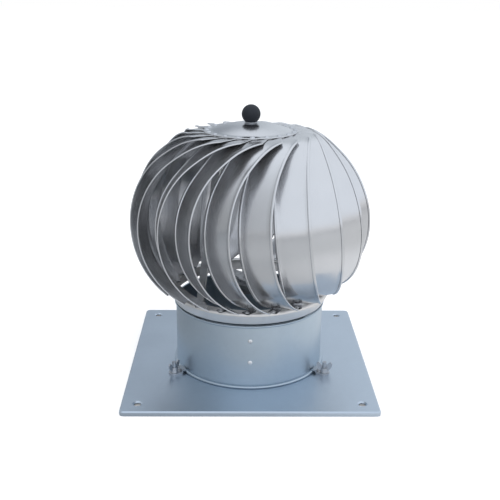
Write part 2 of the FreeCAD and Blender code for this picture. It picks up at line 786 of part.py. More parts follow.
# The pieces that stand still.
strap_top_height = disc_rim_height - strap_head_room
export("base_plate", make_base_plate())
export("spigot", make_spigot())
export("sleeve", make_sleeve())
export("sleeve_rivets", make_sleeve_rivets())
export("clip_studs", make_clip_studs())
upper_face = strap_top_height
lower_strap_top = strap_top_height - strap_thick
export("upper_strap", make_strap(strap_top_height, strap_angles[0]))
export("lower_strap", make_strap(lower_strap_top, strap_angles[1]))
export("lower_bar", make_lower_bar())
cup, ring, upper_bearing_low = make_housing(upper_face, 1, strap_angles[0])
export("upper_bearing_housing", cup)
export("upper_circlip", ring)
export("upper_housing_rivets",
       make_housing_rivets(upper_face, 1, housing_flange_thick + strap_thick, strap_angles[0]))
cup, ring, lower_bearing_low = make_housing(bar_height, -1, strap_angles[1])
export("lower_bearing_housing", cup)
export("lower_circlip", ring)
export("lower_housing_rivets",
       make_housing_rivets(bar_height, -1, housing_flange_thick + bar_thick, strap_angles[1]))

# The clips and wing nuts, one set at each stud.
for number, angle in enumerate(clip_angles, 1):
    export("clip_%d" % number, make_clip(angle))
    export("wing_nut_%d" % number, make_wing_nut(angle))

# The pieces that turn together.
outer, inner = make_bearing(upper_bearing_low)
export("upper_bearing_outer", outer)
export("upper_bearing_inner", inner)
outer, inner = make_bearing(lower_bearing_low)
export("lower_bearing_outer", outer)
export("lower_bearing_inner", inner)
nut_top = landing - disc_sheet
export("shaft", make_shaft())
export("disc_nut", nut(nut_top - nut_height, nut_top, shaft_radius + knob_bore_gap))
export("knob_washer", tube(washer_radius, shaft_radius + knob_bore_gap, landing, knob_seat))
export("ball_knob", make_knob())
export("top_disc", make_top_disc())
export("lower_ring", make_lower_ring())
export("top_rivets", make_blade_rivets(top_rivet_point, disc_sheet + blade_sheet))
export("ring_rivets", make_blade_rivets(ring_rivet_point, blade_sheet + ring_sheet))
blade = make_blade()
for k in range(blade_count):
    export("blade_%02d" % (k + 1), turned(blade, blade_angle(k)))
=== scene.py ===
import bmesh
import bpy
import math
import numpy as np
from mathutils import Matrix


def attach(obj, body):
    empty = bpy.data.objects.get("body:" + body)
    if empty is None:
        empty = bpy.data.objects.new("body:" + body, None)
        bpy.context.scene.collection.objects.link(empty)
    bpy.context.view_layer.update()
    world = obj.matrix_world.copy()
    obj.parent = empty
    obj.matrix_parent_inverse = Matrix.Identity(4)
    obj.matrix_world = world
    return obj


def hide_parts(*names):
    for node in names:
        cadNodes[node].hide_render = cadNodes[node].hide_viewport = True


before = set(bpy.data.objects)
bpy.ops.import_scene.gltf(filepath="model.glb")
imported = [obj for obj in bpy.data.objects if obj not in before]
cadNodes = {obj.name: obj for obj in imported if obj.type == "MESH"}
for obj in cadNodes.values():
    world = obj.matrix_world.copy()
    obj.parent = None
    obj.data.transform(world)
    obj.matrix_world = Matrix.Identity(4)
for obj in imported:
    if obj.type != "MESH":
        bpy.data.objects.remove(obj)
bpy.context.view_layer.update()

mm = 0.001
poleReach = 0.001             # mm, how near the axis a turned shape's pole starts
creaseAngle = 38.0            # degrees, edges that bend more are shown sharp
print("frame loaded:", len(cadNodes), "nodes")


class Sock:
    # an output socket; each operator adds one Math node
    def __init__(self, tree, out):
        self.tree = tree
        self.out = out

    def calc(self, kind, first, second):
        return self.tree.node("ShaderNodeMath", {"operation": kind}, [first, second])

    def __add__(self, other):
        return self.calc("ADD", self, other)

    def __radd__(self, other):
        return self.calc("ADD", other, self)

    def __sub__(self, other):
        return self.calc("SUBTRACT", self, other)

    def __rsub__(self, other):
        return self.calc("SUBTRACT", other, self)

    def __mul__(self, other):
        return self.calc("MULTIPLY", self, other)

    def __rmul__(self, other):
        return self.calc("MULTIPLY", other, self)

    def __pow__(self, other):
        return self.calc("POWER", self, other)

    def ramp(self, low, high, kind="SMOOTHSTEP"):
        # 0 below low, 1 above high; smooth or straight between
        return self.tree.node("ShaderNodeMapRange", {"interpolation_type": kind},
                              {"Value": self, "From Min": low, "From Max": high})


class NodeTree:
    def __init__(self, tree):
        self.tree = tree
        tree.nodes.clear()

    def node(self, kind, settings=None, values=None, out=0):
        # settings first, because they decide which sockets exist; then values or links
        made = self.tree.nodes.new(kind)
        for key, value in (settings or {}).items():
            setattr(made, key, value)
        pairs = values.items() if isinstance(values, dict) else enumerate(values or [])
        for key, value in pairs:
            if isinstance(value, Sock):
                self.tree.links.new(value.out, made.inputs[key])
            elif value is not None:
                made.inputs[key].default_value = value
        return Sock(self, made.outputs[out]) if len(made.outputs) else None

    def mix(self, factor, first, second):
        # colours, or links to them, mixed by a factor
        wide = [c if isinstance(c, Sock) else (*c, 1) for c in (first, second)]
        return self.node("ShaderNodeMix", {"data_type": "RGBA"},
                         {0: factor, 6: wide[0], 7: wide[1]}, out=2)

    def place(self, stretch=(1, 1, 1)):
        # Object coordinates, stretched
        start = self.node("ShaderNodeTexCoord", out="Object")
        return self.node("ShaderNodeMapping", None, {"Vector": start, "Scale": stretch})

    def noise(self, where, size, detail=2.0, rough=0.5):
        return self.node("ShaderNodeTexNoise", None,
                         {"Vector": where, "Scale": size, "Detail": detail,
                          "Roughness": rough}, out="Fac")

    def bump(self, height, strength, depth, under=None):
        return self.node("ShaderNodeBump", None,
                         {"Height": height, "Strength": strength, "Distance": depth,
                          "Normal": under})

    def xyz(self, where):
        split = self.node("ShaderNodeSeparateXYZ", None, [where])
        return [Sock(self, out) for out in split.out.node.outputs]


def newFinish(name):
    # an empty material and its tree, still to be filled
    material = bpy.data.materials.new(name)
    material.use_nodes = True
    return material, NodeTree(material.node_tree)


def closeFinish(tree, **sockets):
    # the shader itself, from short names for its sockets
    names = {"colour": "Base Color", "metal": "Metallic", "rough": "Roughness",
             "normal": "Normal"}
    shader = tree.node("ShaderNodeBsdfPrincipled", None,
                       {names[key]: value for key, value in sockets.items()})
    tree.node("ShaderNodeOutputMaterial", None, {"Surface": shader})


# the sizes of patterns are per metre, the depths of bumps in metres
polishLook = {
    "pale": (0.70, 0.705, 0.715), "deep": (0.60, 0.605, 0.62), "metal": 1.0,
    "rough": 0.13, "grainRough": 0.10, "smearRough": 0.05,
    "grainStrength": 0.05, "grainDepth": 0.0002,
    "waveStrength": 0.22, "waveDepth": 0.004,
    "grainSize": 3.0, "cloudSize": 38.0, "waveSize": 26.0, "smearSize": 120.0,
    "alongStrip": (90, 1.6, 1),         # how the grain is drawn out on a blade's own map
    "roundPiece": (900, 900, 40),       # and on a piece without one
}


def polishedSheet(name, follow, look):
    # rolled stainless. Colour: 0.6 clouds and 0.4 grain, from deep to pale. Roughness: a base
    # with some grain and smears. Height: slow waves that bend what it mirrors, under the grain
    material, tree = newFinish(name)
    if follow:
        uv = tree.node("ShaderNodeUVMap", {"uv_map": "alongSheet"})
        drawn = tree.node("ShaderNodeMapping", None, {"Vector": uv, "Scale": look["alongStrip"]})
    else:
        drawn = tree.place(look["roundPiece"])
    grain = tree.noise(drawn, look["grainSize"], 3.0)
    cloud = tree.noise(tree.place(), look["cloudSize"])
    wave = tree.noise(tree.place(), look["waveSize"], 1.0, 0.3)
    smear = tree.noise(tree.place(), look["smearSize"], 4.0, 0.6).ramp(0.45, 0.75)
    colour = tree.mix(cloud * 0.6 + grain * 0.4, look["deep"], look["pale"])
    rough = look["rough"] + grain * look["grainRough"] + smear * look["smearRough"]
    normal = tree.bump(wave, look["waveStrength"], look["waveDepth"])
    normal = tree.bump(grain, look["grainStrength"], look["grainDepth"], normal)
    closeFinish(tree, colour=colour, metal=look["metal"], rough=rough, normal=normal)
    return material


zincLook = {
    "pale": (0.53, 0.615, 0.69), "deep": (0.42, 0.50, 0.57),
    "rough": 0.34, "lineRough": 0.10, "cloudRough": 0.10,
    "cloudStrength": 0.10, "cloudDepth": 0.004, "lineStrength": 0.06, "lineDepth": 0.0002,
    "lineSize": 3.0, "cloudSize": 24.0, "spangleSize": 210.0,
    "stretch": (60, 60, 900),           # lines round the sleeve
}


def brushedSheet(name, look):
    # zinc-coated sheet. Colour: 0.55 clouds, 0.3 brushed lines and 0.15 spangle, from deep to
    # pale. Roughness: a base with lines and clouds. Height: clouds, and the lines on them
    material, tree = newFinish(name)
    lines = tree.noise(tree.place(look["stretch"]), look["lineSize"], 3.0)
    cloud = tree.noise(tree.place(), look["cloudSize"], 3.0)
    spangle = tree.node("ShaderNodeTexVoronoi", None,
                        {"Vector": tree.place(), "Scale": look["spangleSize"]}, out="Color")
    tone = tree.node("ShaderNodeRGBToBW", None, [spangle])
    colour = tree.mix(cloud * 0.55 + lines * 0.3 + tone * 0.15, look["deep"], look["pale"])
    rough = look["rough"] + lines * look["lineRough"] + (cloud - 0.5) * look["cloudRough"]
    normal = tree.bump(cloud, look["cloudStrength"], look["cloudDepth"])
    normal = tree.bump(lines, look["lineStrength"], look["lineDepth"], normal)
    closeFinish(tree, colour=colour, metal=1.0, rough=rough, normal=normal)
    return material


hardwareLook = {
    "grainSize": 900.0, "patchSize": 90.0, "tarnish": 0.72, "tarnishShare": 0.7,
    "grainRough": 0.12, "patchRough": 0.08, "grainStrength": 0.08, "grainDepth": 0.0001,
}


def plainMetal(name, colour, rough):
    # small hardware: fine grain, a little tarnish in patches
    look = hardwareLook
    material, tree = newFinish(name)
    grain = tree.noise(tree.place(), look["grainSize"], 3.0)
    patch = tree.noise(tree.place(), look["patchSize"], 3.0).ramp(0.4, 0.7)
    dark = tuple(c * look["tarnish"] for c in colour)
    closeFinish(tree, colour=tree.mix(patch * look["tarnishShare"], colour, dark), metal=1.0,
                rough=rough + grain * look["grainRough"] + patch * look["patchRough"],
                normal=tree.bump(grain, look["grainStrength"], look["grainDepth"]))
    return material


ballLook = {
    "deep": (0.006, 0.009, 0.015), "dusty": (0.020, 0.024, 0.033), "dustShare": 0.35,
    "peelSize": 1400.0, "dustSize": 260.0, "rough": 0.52, "peelRough": 0.12,
    "peelStrength": 0.12, "peelDepth": 0.0002,
}


def mouldedBlack(name, look):
    # matt moulded ball: fine orange-peel grain, faint dust
    material, tree = newFinish(name)
    peel = tree.noise(tree.place(), look["peelSize"])
    dust = tree.noise(tree.place(), look["dustSize"], 5.0, 0.7).ramp(0.5, 0.8)
    closeFinish(tree, colour=tree.mix(dust * look["dustShare"], look["deep"], look["dusty"]),
                metal=0.0, rough=look["rough"] + peel * look["peelRough"],
                normal=tree.bump(peel, look["peelStrength"], look["peelDepth"]))
    return material


bladeMetal = polishedSheet("bladePolish", True,
                           dict(polishLook, rough=0.15, grainStrength=0.13, metal=0.94))
ringMetal = polishedSheet("ringPolish", False,
                          dict(polishLook, rough=0.30, pale=(0.80, 0.785, 0.765),
                               deep=(0.70, 0.685, 0.67)))
discMetal = polishedSheet("discPolish", False, dict(polishLook, rough=0.16, waveStrength=0.10))
sleeveMetal = brushedSheet("sleeveZinc", zincLook)
plateMetal = brushedSheet("plateZinc", dict(zincLook, pale=(0.56, 0.64, 0.72),
                                            deep=(0.48, 0.55, 0.63), rough=0.30,
                                            stretch=(30, 900, 30)))
strapMetal = plainMetal("strapSteel", (0.62, 0.63, 0.64), 0.30)
housingMetal = plainMetal("castHousing", (0.32, 0.33, 0.35), 0.42)
bearingMetal = plainMetal("groundSteel", (0.60, 0.61, 0.63), 0.22)
hardwareMetal = plainMetal("zincHardware", (0.50, 0.52, 0.55), 0.34)
rivetMetal = plainMetal("rivetAluminium", (0.82, 0.83, 0.84), 0.30)
discRivetMetal = plainMetal("discRivets", (0.62, 0.64, 0.67), 0.26)
knobBlack = mouldedBlack("knobBlack", ballLook)
print("finishes made")


def gridFaces(rows, columns, closeRows=False, closeColumns=False):
    # quads between neighbours of a rows x columns grid
    r = np.arange(rows if closeRows else rows - 1)
    c = np.arange(columns if closeColumns else columns - 1)
    r, c = np.meshgrid(r, c, indexing="ij")
    r2, c2 = (r + 1) % rows, (c + 1) % columns
    return np.stack([r * columns + c, r * columns + c2, r2 * columns + c2,
                     r2 * columns + c], -1).reshape(-1, 4)


def volumeOf(points, faces):
    # signed volume about the shell's own middle, because its ends may still lack their
    # caps: a sixth of a . (b x c + c x d) over its quads
    points = points - points.mean(0)
    a, b, c, d = (points[faces[:, i]] for i in range(4))
    return np.einsum("ij,ij->", a, np.cross(b, c) + np.cross(c, d)) / 6


def joinShells(shells):
    # several (points, quads, caps) shells in one list, each turned to face outwards
    allPoints, allFaces, start = [], [], 0
    for points, quads, caps in shells:
        flip = volumeOf(points, quads) < 0
        faces = quads[:, ::-1] if flip else quads
        allFaces += (faces + start).tolist()
        for cap in caps:
            allFaces.append(((cap[::-1] if flip else cap) + start).tolist())
        allPoints.append(points)
        start += len(points)
    return np.concatenate(allPoints), allFaces


def closePoles(mesh):
    # the tiny ring at each pole of a turned shape becomes one point
    work = bmesh.new()
    work.from_mesh(mesh)
    bmesh.ops.remove_doubles(work, verts=work.verts, dist=poleReach * 4 * mm)
    work.to_mesh(mesh)
    work.free()


def makePiece(name, shells, material, body, stands, uv=None, poles=False):
    # one finished piece: it rides a body and stands for the CAD nodes in stands
    points, faces = joinShells(shells)
    mesh = bpy.data.meshes.new(name)
    mesh.from_pydata(points.tolist(), [], faces)
    if poles:
        closePoles(mesh)
    mesh.polygons.foreach_set("use_smooth", np.ones(len(mesh.polygons), bool))
    mesh.set_sharp_from_angle(angle=math.radians(creaseAngle))
    if uv is not None:
        layer = mesh.uv_layers.new(name="alongSheet")
        corners = np.empty(len(mesh.loops), np.int32)
        mesh.loops.foreach_get("vertex_index", corners)
        layer.data.foreach_set("uv", uv[corners].ravel())
    mesh.materials.append(material)
    mesh.update()
    piece = bpy.data.objects.new(name, mesh)
    bpy.context.scene.collection.objects.link(piece)
    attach(piece, body)
    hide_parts(*stands)


def revolved(profile, segments):
    # a closed (radius, height) loop in mm, carried round Z: (r cos t, r sin t, z)
    r, z = np.array(profile, float).T * mm
    t = np.linspace(0, 2 * np.pi, segments, endpoint=False)[:, None]
    points = np.stack([r * np.cos(t), r * np.sin(t), z + 0 * t], -1).reshape(-1, 3)
    return points, gridFaces(segments, len(r), True, True), []


def arcPoints(centre, radius, first, last, count):
    # centre plus radius times (cosine, sine) of evenly spaced angles, in degrees
    t = np.radians(np.linspace(first, last, count))
    return [(centre[0] + radius * c, centre[1] + radius * s) for c, s in zip(np.cos(t), np.sin(t))]


def roundedLoop(corners, radii, count=5):
    # a closed loop of corners, each replaced by an arc that touches both of its sides: it
    # starts radius / tan(half the corner) along each side, or at 0.49 of a side at most
    nearlyStraight = 1.56
    out = []
    corners = [np.array(c, float) for c in corners]
    for i, corner in enumerate(corners):
        before = corners[i - 1] - corner
        after = corners[(i + 1) % len(corners)] - corner
        lengthBefore, lengthAfter = np.linalg.norm(before), np.linalg.norm(after)
        before, after = before / lengthBefore, after / lengthAfter
        half = math.acos(np.clip(before @ after, -1, 1)) / 2
        if radii[i] == 0 or half > nearlyStraight:
            out.append(tuple(corner))
            continue
        reach = min(radii[i] / math.tan(half), lengthBefore * 0.49, lengthAfter * 0.49)
        radius = reach * math.tan(half)
        inward = (before + after) / np.linalg.norm(before + after)
        middle = corner + inward * radius / math.sin(half)
        first, last = corner + before * reach - middle, corner + after * reach - middle
        for k in range(count + 1):
            blend = first * (1 - k / count) + last * k / count
            out.append(tuple(middle + blend / np.linalg.norm(blend) * radius))
    return out


def turnAbout(points, degrees):
    # points turned about the spin axis: (x cos - y sin, x sin + y cos, z)
    c, s = math.cos(math.radians(degrees)), math.sin(math.radians(degrees))
    return points @ np.array([[c, s, 0], [-s, c, 0], [0, 0, 1]])


def smooth(value, low, high):
    # 0 below low, 1 above high, and t squared times (3 - 2t) between
    t = np.clip((value - low) / (high - low), 0, 1)
    return t * t * (3 - 2 * t)


# lengths in mm, angles in degrees; reach is the distance from the axis along planeWay
blade = {
    "count": 20, "phase": 8.3, "width": 31.0, "sheet": 0.5,
    "setAngle": 35.0,                   # how far the strip is turned out of the radial way
    "lean": 0.111, "leanHeight": 161.0, "midOffset": 52.7,
    # the path: main roll up to the knee, a large roll over the top, then the flat tab
    "rollRadius": 78.0, "rollReach": 18.2, "rollHeight": 157.34, "knee": 70.0,
    "topRadius": 450.0, "topStart": 42.0, "endReach": 51.25,
    # the hems and the inner face between them
    "hemWidth": 2.6, "hemThick": 0.8, "hemFoot": 0.35, "hemTop": 20.0, "hemFade": 8.0,
    "narrow": 12.0, "innerStart": 0.8, "innerMore": 2.0,
    # the narrowing to the tab, and the tab under the disc
    "taperStart": 19.0, "taperEnd": 11.5, "outerEnd": 6.6, "notch": 1.6,
    "tabStart": 8.8, "tabEnd": 1.6, "tabCorner": 2.0, "tabInner": 7.0, "tabOuter": 1.8,
    "tabShift": 1.7, "tabRivetReach": 6.2, "underside": 242.0, "discRivetRadius": 42.5,
    # where the strip is pressed level with the disc's rim
    "seatInner": 49.0, "seatOuter": 90.0, "seatFrom": 80.0, "seatTo": 26.0,
    "seatFall": 0.06, "fallStart": 6.0, "fallLength": 30.0,
    # the lower inner corner, cut away, and the foot folded out of it
    "trim": 3.4, "trimLength": 9.0, "trimSlope": 4.4,
    "footWidth": 9.6, "footMargin": 3.4, "footCorner": 2.0, "footBend": 1.4, "footRoot": 0.8,
    "ringTop": 85.0, "ringRivetRadius": 79.7,
}
setTurn = math.radians(blade["setAngle"])
leanTurn = math.atan(blade["lean"])
knee = math.radians(blade["knee"])
planeWay = np.array([math.cos(setTurn), -math.sin(setTurn), 0])
widthWay = np.array([math.sin(setTurn), math.cos(setTurn), 0])
upWay = np.array([0.0, 0.0, 1.0])
acrossWay = widthWay * math.cos(leanTurn) + upWay * math.sin(leanTurn)
riseWay = upWay * math.cos(leanTurn) - widthWay * math.sin(leanTurn)
stripZero = widthWay * blade["midOffset"] + upWay * blade["leanHeight"]
rollRise = blade["rollHeight"] - blade["leanHeight"]
topReach = blade["rollReach"] - (blade["topRadius"] - blade["rollRadius"]) * math.cos(knee)
topRise = rollRise - (blade["topRadius"] - blade["rollRadius"]) * math.sin(knee)
endTurn = -math.acos((blade["endReach"] - blade["rollReach"]) / blade["rollRadius"])
tabHeight = blade["underside"] - blade["sheet"] / 2
tabRivetOffset = math.sqrt(blade["discRivetRadius"] ** 2 - blade["tabRivetReach"] ** 2)
tabOffset = blade["tabShift"] + tabRivetOffset


def bladePath():
    # stations along the strip: roll centre plus roll radius times (cosine, sine) of the turn.
    # The top's stations are spaced by reach, closer at the taper and the tab's round end
    low = np.linspace(endTurn, knee, 46)
    tabRound = blade["tabEnd"] + blade["tabCorner"]
    top = np.concatenate([np.linspace(blade["topStart"], blade["taperEnd"], 20),
                          np.linspace(blade["taperEnd"], blade["tabStart"], 6)[1:],
                          np.linspace(blade["tabStart"], tabRound, 4)[1:],
                          blade["tabEnd"]
                          + blade["tabCorner"] * np.cos(np.linspace(0, np.pi / 2, 6))[1:]])
    high = np.arccos((top - topReach) / blade["topRadius"])
    reach = np.concatenate([blade["rollReach"] + blade["rollRadius"] * np.cos(low), top])
    rise = np.concatenate([rollRise + blade["rollRadius"] * np.sin(low),
                           topRise + blade["topRadius"] * np.sin(high)])
    return reach, rise, np.concatenate([low, high])


def hemProfile():
    # one edge of the strip's section, as (distance in from the edge, height of the sheet's
    # part, height of the hem's part): half a turn of radius (1 - cosine) inwards and sine up,
    # then the folded edge's back and its rounded fall to the sheet
    half = blade["sheet"] / 2
    top, width = blade["hemThick"], blade["hemWidth"]
    radius = half + top / 2
    turns = np.radians([-90, -67.5, -45, -22.5, 0, 18, 36, 54, 72, 90])
    rows = [(radius * (1 - math.cos(t)), half * math.sin(t), top * (1 + math.sin(t)) / 2)
            for t in turns]
    return rows + [(width * 0.62, half, top * 1.06), (width - 0.55, half, top * 0.98),
                   (width - 0.16, half, top * 0.78), (width, half, top * 0.42),
                   (width + 0.10, half, top * 0.08), (width + blade["hemFoot"], half, 0.0)]


def bladeEdges(reach, low):
    # the strip's inner and outer edge at each station, as offsets from its middle line
    half = blade["width"] / 2
    start, radius = blade["taperStart"], blade["tabCorner"]
    tip = blade["tabEnd"] + radius - reach
    corner = np.where(tip > 0, radius - np.sqrt(np.clip(radius ** 2 - tip ** 2, 0, None)), 0)
    notch = blade["notch"] * smooth(-reach, -start - 1.5, -start + 0.5)
    outer = np.clip((start - reach) / (start - blade["outerEnd"]), 0, 1)
    right = half - notch - (half - blade["notch"] - blade["tabOuter"]) * outer - corner
    taper = np.clip((start - reach) / (start - blade["taperEnd"]), 0, 1)
    inside = half + blade["innerMore"]
    left = -inside + (inside - blade["tabInner"]) * taper + corner
    cut = (-half + blade["trim"]
           - (reach - blade["endReach"]) * blade["trimSlope"] / blade["trimLength"])
    return np.where(low, np.maximum(left, cut), left), right


def bladeShell(number):
    # a closed section carried along the path. Point = strip zero + (reach + height cos turn)
    # planeWay + offset acrossWay + (rise + height sin turn) riseWay
    reach, rise, turn = bladePath()
    low = turn < 0
    left, right = bladeEdges(reach, low)
    hemRight = smooth(reach, blade["taperStart"] - 1, blade["hemTop"] + 3)
    hemEnd = smooth(reach, blade["endReach"], blade["endReach"] + blade["hemFade"])
    hemLeft = np.where(low, hemRight * hemEnd, hemRight)
    edge = hemProfile()
    squeeze = np.minimum(1, (right - left) / blade["narrow"])   # narrow sections get small hems
    inner = blade["hemWidth"] + blade["hemFoot"]
    margin = blade["innerStart"]
    between = np.linspace(0, 1, 9)[1:-1]
    across, lift = [], []
    for d, sheet, hem in edge:                        # left edge, from below to above
        across.append(left + d * squeeze)
        lift.append(sheet + hem * hemLeft)
    for f in between:                                 # outer face
        across.append(left + inner + (right - left - 2 * inner) * f)
        lift.append(np.full_like(reach, blade["sheet"] / 2))
    for d, sheet, hem in reversed(edge):              # right edge, back down
        across.append(right - d * squeeze)
        lift.append(sheet + hem * hemRight)
    for f in between[::-1]:                           # inner face
        across.append(left + margin + (right - left - 2 * margin) * f)
        lift.append(np.full_like(reach, -blade["sheet"] / 2))
    across, lift = np.stack(across, 1), np.stack(lift, 1)
    far = reach[:, None] + lift * np.cos(turn)[:, None]
    height = rise[:, None] + lift * np.sin(turn)[:, None]
    rolled = (stripZero + far[..., None] * planeWay + across[..., None] * acrossWay
              + height[..., None] * riseWay)
    # beside the disc the strip is pressed level with its rim, by its distance from the axis
    radius = np.hypot(rolled[..., 0], rolled[..., 1])
    upper = np.where(low, 0, smooth(-reach, -blade["seatFrom"], -blade["seatTo"]))
    seated = smooth(-radius, -blade["seatOuter"], -blade["seatInner"]) * upper[:, None]
    fall = blade["seatFall"] * np.clip(reach - blade["fallStart"], 0, blade["fallLength"])
    rolled[..., 2] += (tabHeight + lift - fall[:, None] - rolled[..., 2]) * seated
    # the tab is flat under the disc, and the strip twists into it
    flat = (reach[:, None, None] * planeWay + (tabOffset + across)[..., None] * widthWay
            + (tabHeight + lift)[..., None] * upWay)
    mixed = smooth(-reach, -blade["taperEnd"], -blade["tabStart"])[:, None, None]
    points = rolled * (1 - mixed) + flat * mixed
    rows, columns = across.shape
    length = np.concatenate([[0], np.cumsum(np.hypot(np.diff(reach), np.diff(rise)))])
    uv = np.stack([across * mm * 10 + number * 3.7,   # each strip lies elsewhere in the grain
                   np.repeat(length[:, None], columns, 1) * mm * 10 + number * 1.3], -1)
    caps = [np.arange(columns)[::-1], np.arange(columns) + (rows - 1) * columns]
    shell = (turnAbout(points.reshape(-1, 3) * mm, angles[number]),
             gridFaces(rows, columns, False, True), caps)
    return shell, uv.reshape(-1, 2)


def slab(grid, thick):
    # a sheet about a middle surface: the grid plus and minus half its thickness along the
    # cross product of its two directions
    normal = np.cross(np.gradient(grid, axis=0), np.gradient(grid, axis=1))
    normal /= np.linalg.norm(normal, axis=-1, keepdims=True)
    rows, columns = grid.shape[:2]
    top, under = grid + normal * thick / 2, grid - normal * thick / 2
    loop = np.concatenate([top, under[:, ::-1]], 1)
    caps = [np.arange(2 * columns)[::-1], np.arange(2 * columns) + (rows - 1) * 2 * columns]
    return loop.reshape(-1, 3), gridFaces(rows, 2 * columns, False, True), caps


def footShell(number):
    # tongue folded out of the strip's lower end: down the web, round a bend whose quarter turn
    # is a quadratic curve, then flat on the ring to a tip with round corners
    half, corner = blade["footWidth"] / 2, blade["footCorner"]
    endRise = rollRise + blade["rollRadius"] * math.sin(endTurn)
    start = -blade["width"] / 2 + blade["trim"]
    a = np.linspace(start, start + blade["footWidth"], 9)
    top = stripZero + blade["endReach"] * planeWay + a[:, None] * acrossWay + endRise * riseWay
    offset = top @ widthWay
    base = blade["ringTop"] + blade["sheet"] / 2
    middle = offset.mean()
    rivetReach = math.sqrt(blade["ringRivetRadius"] ** 2 - middle ** 2)
    tip = rivetReach + blade["footMargin"]
    bendPoint = top * [1, 1, 0] + upWay * base
    bend = np.minimum(blade["footBend"], np.maximum(top[:, 2] - base, 0.3))[:, None]
    rows = [top + upWay * blade["footRoot"], top, bendPoint + upWay * bend]
    for f in np.linspace(0, 1, 6)[1:]:
        rows.append(bendPoint + upWay * bend * (1 - f) ** 2 + planeWay * bend * f ** 2)
    flatStart = rows[-1] @ planeWay
    beyond = np.clip(np.abs(np.linspace(-1, 1, 9)) * half - (half - corner), 0, corner)
    cornerCut = corner - np.sqrt(np.clip(corner ** 2 - beyond ** 2, 0, None))
    for f in np.linspace(0, 1, 8)[1:]:
        far = flatStart * (1 - f) + (tip - cornerCut) * f
        rows.append(far[:, None] * planeWay + offset[:, None] * widthWay + upWay * base)
    points, faces, caps = slab(np.stack(rows) * mm, blade["sheet"] * mm)
    rivetSpot = rivetReach * planeWay + middle * widthWay + upWay * (base + blade["sheet"] / 2)
    return (turnAbout(points, angles[number]), faces, caps), rivetSpot


angles = [blade["phase"] + 360 / blade["count"] * k for k in range(blade["count"])]
for number in range(blade["count"]):
    strip, uv = bladeShell(number)
    foot, ringRivetSpot = footShell(number)
    uvFoot = np.stack([foot[0][:, 0] * 10, foot[0][:, 2] * 10], -1)
    makePiece("bladeSheet_%02d" % (number + 1), [strip, foot], bladeMetal, "rotor",
              ["blade_%02d" % (number + 1)], np.concatenate([uv, uvFoot]))
print("blades made")


rivet = {
    "head": 2.3, "height": 0.9, "shank": 1.6, "tail": 1.8, "tailHeight": 0.3, "segments": 20,
    "pit": 0.55, "pitRim": 0.75,        # radii of the small pit in the head
    "pitHeight": 0.55, "rimHeight": 0.97,        # heights as shares of the head's
    "ringGrip": 1.3, "discGrip": 1.5, "sleeveGrip": 0.85,
}


def rivetShell(grip):
    # blind rivet round Z: a dome of head cos t and height sin t with a small pit, a shank
    # through the grip, and a plain tail
    head, height = rivet["head"], rivet["height"]
    dome = [(head * math.cos(t), height * math.sin(t)) for t in np.radians([66, 45, 22, 0])]
    pit = height * rivet["pitHeight"]
    low = -grip - rivet["tailHeight"]
    profile = ([(poleReach, pit), (rivet["pit"], pit),
                (rivet["pitRim"], height * rivet["rimHeight"])] + dome
               + [(rivet["shank"], 0), (rivet["shank"], -grip), (rivet["tail"], -grip),
                  (rivet["tail"], low), (poleReach, low)])
    return revolved(profile, rivet["segments"])


def rivetGroup(name, spots, way, grip, body, stands, metal=rivetMetal):
    # one rivet at each spot, its head along the way
    points, faces, caps = rivetShell(grip)
    way = np.array(way, float)
    side = np.cross(way, [0.3, 0.9, 0.1])
    side /= np.linalg.norm(side)
    turned = points @ np.stack([side, np.cross(way, side), way])
    shells = [(turned + np.array(spot) * mm, faces, caps) for spot in spots]
    makePiece(name, shells, metal, body, [stands], poles=True)


tabRivetSpot = (blade["tabRivetReach"] * planeWay + tabRivetOffset * widthWay
                + upWay * (blade["underside"] + 1.0))          # the disc is 1 mm thick
rivetGroup("ringRivetHeads", [turnAbout(ringRivetSpot, a) for a in angles], (0, 0, 1),
           rivet["ringGrip"], "rotor", "ring_rivets")
rivetGroup("topRivetHeads", [turnAbout(tabRivetSpot, a) for a in angles], (0, 0, 1),
           rivet["discGrip"], "rotor", "top_rivets", discRivetMetal)
rivetGroup("sleeveRivetHeads", [(0, -75, 31.6), (0, -75, 54.0)], (0, -1, 0),
           rivet["sleeveGrip"], "base", "sleeve_rivets")
print("rivets made")


ring = {"top": 85.0, "inner": 72.0, "outer": 83.0, "sheet": 0.8, "skirtRadius": 76.8,
        "skirtBottom": 72.5, "rounds": [0.3, 2.2, 0.39, 0.39, 1.4, 0.3], "segments": 240}


def ringShell():
    # flange, round shoulder, and a cone inwards to the skirt's round lower edge. The skirt's
    # level width is the sheet times the root of 1 + narrowing squared
    t = ring["sheet"]
    narrowing = (ring["outer"] - ring["skirtRadius"]) / (ring["top"] - ring["skirtBottom"])
    wall = t * math.sqrt(1 + narrowing ** 2)
    corners = [(ring["inner"], ring["top"]), (ring["outer"], ring["top"]),
               (ring["skirtRadius"], ring["skirtBottom"]),
               (ring["skirtRadius"] - wall, ring["skirtBottom"]),
               (ring["outer"] - narrowing * t - wall, ring["top"] - t),
               (ring["inner"], ring["top"] - t)]
    return revolved(roundedLoop(corners, ring["rounds"], 8), ring["segments"])


disc = {"rim": 243.0, "radius": 45.6, "flat": 39.0, "landing": 8.0, "rise": 6.5, "sheet": 1.0,
        "bore": 4.1, "segments": 200}


def discShell():
    # flat rim, then a crown: the height is the rise times a sine from the flat to the landing
    part = np.linspace(0, 1, 18)
    run = disc["flat"] - disc["landing"]
    r = np.concatenate([[disc["radius"] - 0.3, disc["radius"] - 2], disc["flat"] - run * part,
                        [disc["bore"]]])
    z = np.concatenate([[0, 0], disc["rise"] * np.sin(part * np.pi / 2), [disc["rise"]]])
    top = list(zip(r, z + disc["rim"]))
    under = list(zip(r, z + disc["rim"] - disc["sheet"]))
    half = disc["sheet"] / 2
    rim = arcPoints((disc["radius"] - half, disc["rim"] - half), half, -60, 60, 5)
    return revolved(rim + top + under[::-1], disc["segments"])


